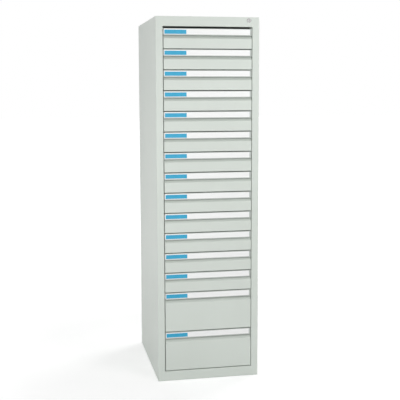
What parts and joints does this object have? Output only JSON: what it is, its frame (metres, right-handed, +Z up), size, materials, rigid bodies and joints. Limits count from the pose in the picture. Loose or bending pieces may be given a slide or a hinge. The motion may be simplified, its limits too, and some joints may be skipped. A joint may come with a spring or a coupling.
{
  "type": "microscope slide cabinet",
  "caption": "Tall free-standing steel cabinet with a stack of slide drawers, each with a label strip over a finger recess, and one lock for them all.",
  "frame": {"origin": "middle of the base, on the floor", "axes": "+Z up, drawers open towards -Y, +X to the right seen from the front"},
  "size_m": [0.385, 0.502, 1.355],
  "materials": {
    "body_paint": "light grey powder coat, fine texture",
    "drawer_paint": "light grey powder coat, fine texture",
    "tray_paint": "light grey powder coat",
    "runner_steel": "zinc plated",
    "label_plastic": "white label strip in a grey rail",
    "glide_plastic": "natural white nylon",
    "lock_chrome": "nickel plated"
  },
  "bodies": {
    "cabinet": {"left_side_panel": "body_paint", "right_side_panel": "body_paint", "back_panel": "body_paint", "top_panel": "body_paint", "base_pan": "body_paint", "header_rail": "body_paint", "plinth_rail": "body_paint", "runner_posts": "body_paint", "cabinet_runners": "runner_steel", "glide_pads": "glide_plastic", "lock_barrel": "lock_chrome", "bar_guides": "glide_plastic"},
    "drawer_01": {"drawer_01_tray": "tray_paint", "drawer_01_front": "drawer_paint", "drawer_01_label_rail": "label_plastic"},
    "drawer_02": {"drawer_02_tray": "tray_paint", "drawer_02_front": "drawer_paint", "drawer_02_label_rail": "label_plastic"},
    "drawer_03": {"drawer_03_tray": "tray_paint", "drawer_03_front": "drawer_paint", "drawer_03_label_rail": "label_plastic"},
    "drawer_04": {"drawer_04_tray": "tray_paint", "drawer_04_front": "drawer_paint", "drawer_04_label_rail": "label_plastic"},
    "drawer_05": {"drawer_05_tray": "tray_paint", "drawer_05_front": "drawer_paint", "drawer_05_label_rail": "label_plastic"},
    "drawer_06": {"drawer_06_tray": "tray_paint", "drawer_06_front": "drawer_paint", "drawer_06_label_rail": "label_plastic"},
    "drawer_07": {"drawer_07_tray": "tray_paint", "drawer_07_front": "drawer_paint", "drawer_07_label_rail": "label_plastic"},
    "drawer_08": {"drawer_08_tray": "tray_paint", "drawer_08_front": "drawer_paint", "drawer_08_label_rail": "label_plastic"},
    "drawer_09": {"drawer_09_tray": "tray_paint", "drawer_09_front": "drawer_paint", "drawer_09_label_rail": "label_plastic"},
    "drawer_10": {"drawer_10_tray": "tray_paint", "drawer_10_front": "drawer_paint", "drawer_10_label_rail": "label_plastic"},
    "drawer_11": {"drawer_11_tray": "tray_paint", "drawer_11_front": "drawer_paint", "drawer_11_label_rail": "label_plastic"},
    "drawer_12": {"drawer_12_tray": "tray_paint", "drawer_12_front": "drawer_paint", "drawer_12_label_rail": "label_plastic"},
    "drawer_13": {"drawer_13_tray": "tray_paint", "drawer_13_front": "drawer_paint", "drawer_13_label_rail": "label_plastic"},
    "drawer_14": {"drawer_14_tray": "tray_paint", "drawer_14_front": "drawer_paint", "drawer_14_label_rail": "label_plastic"},
    "drawer_15": {"drawer_15_tray": "tray_paint", "drawer_15_front": "drawer_paint", "drawer_15_label_rail": "label_plastic"},
    "lock": {"lock_plug": "lock_chrome", "lock_cam": "runner_steel"},
    "locking_bar": {"locking_bar": "runner_steel"}
  },
  "joints": [
    {"name": "drawer_01_slide", "type": "slide", "parent": "cabinet", "child": "drawer_01", "axis": [0, -1, 0], "range_m": [0, 0.38]},
    {"name": "drawer_02_slide", "type": "slide", "parent": "cabinet", "child": "drawer_02", "axis": [0, -1, 0], "range_m": [0, 0.38]},
    {"name": "drawer_03_slide", "type": "slide", "parent": "cabinet", "child": "drawer_03", "axis": [0, -1, 0], "range_m": [0, 0.38]},
    {"name": "drawer_04_slide", "type": "slide", "parent": "cabinet", "child": "drawer_04", "axis": [0, -1, 0], "range_m": [0, 0.38]},
    {"name": "drawer_05_slide", "type": "slide", "parent": "cabinet", "child": "drawer_05", "axis": [0, -1, 0], "range_m": [0, 0.38]},
    {"name": "drawer_06_slide", "type": "slide", "parent": "cabinet", "child": "drawer_06", "axis": [0, -1, 0], "range_m": [0, 0.38]},
    {"name": "drawer_07_slide", "type": "slide", "parent": "cabinet", "child": "drawer_07", "axis": [0, -1, 0], "range_m": [0, 0.38]},
    {"name": "drawer_08_slide", "type": "slide", "parent": "cabinet", "child": "drawer_08", "axis": [0, -1, 0], "range_m": [0, 0.38]},
    {"name": "drawer_09_slide", "type": "slide", "parent": "cabinet", "child": "drawer_09", "axis": [0, -1, 0], "range_m": [0, 0.38]},
    {"name": "drawer_10_slide", "type": "slide", "parent": "cabinet", "child": "drawer_10", "axis": [0, -1, 0], "range_m": [0, 0.38]},
    {"name": "drawer_11_slide", "type": "slide", "parent": "cabinet", "child": "drawer_11", "axis": [0, -1, 0], "range_m": [0, 0.38]},
    {"name": "drawer_12_slide", "type": "slide", "parent": "cabinet", "child": "drawer_12", "axis": [0, -1, 0], "range_m": [0, 0.38]},
    {"name": "drawer_13_slide", "type": "slide", "parent": "cabinet", "child": "drawer_13", "axis": [0, -1, 0], "range_m": [0, 0.38]},
    {"name": "drawer_14_slide", "type": "slide", "parent": "cabinet", "child": "drawer_14", "axis": [0, -1, 0], "range_m": [0, 0.38]},
    {"name": "drawer_15_slide", "type": "slide", "parent": "cabinet", "child": "drawer_15", "axis": [0, -1, 0], "range_m": [0, 0.38]},
    {"name": "locking_bar_lift", "type": "slide", "parent": "cabinet", "child": "locking_bar", "axis": [0, 0, 1], "range_m": [0, 0.01045]},
    {"name": "lock_turn", "type": "hinge", "parent": "cabinet", "child": "lock", "pos_m": [0.1535, -0.249, 1.343], "axis": [0, -1, 0], "range_deg": [0, 90]}
  ],
  "couplings": [
    {"joint": "lock_turn", "follows": "locking_bar_lift", "rad_per_m": 150.28}
  ]
}
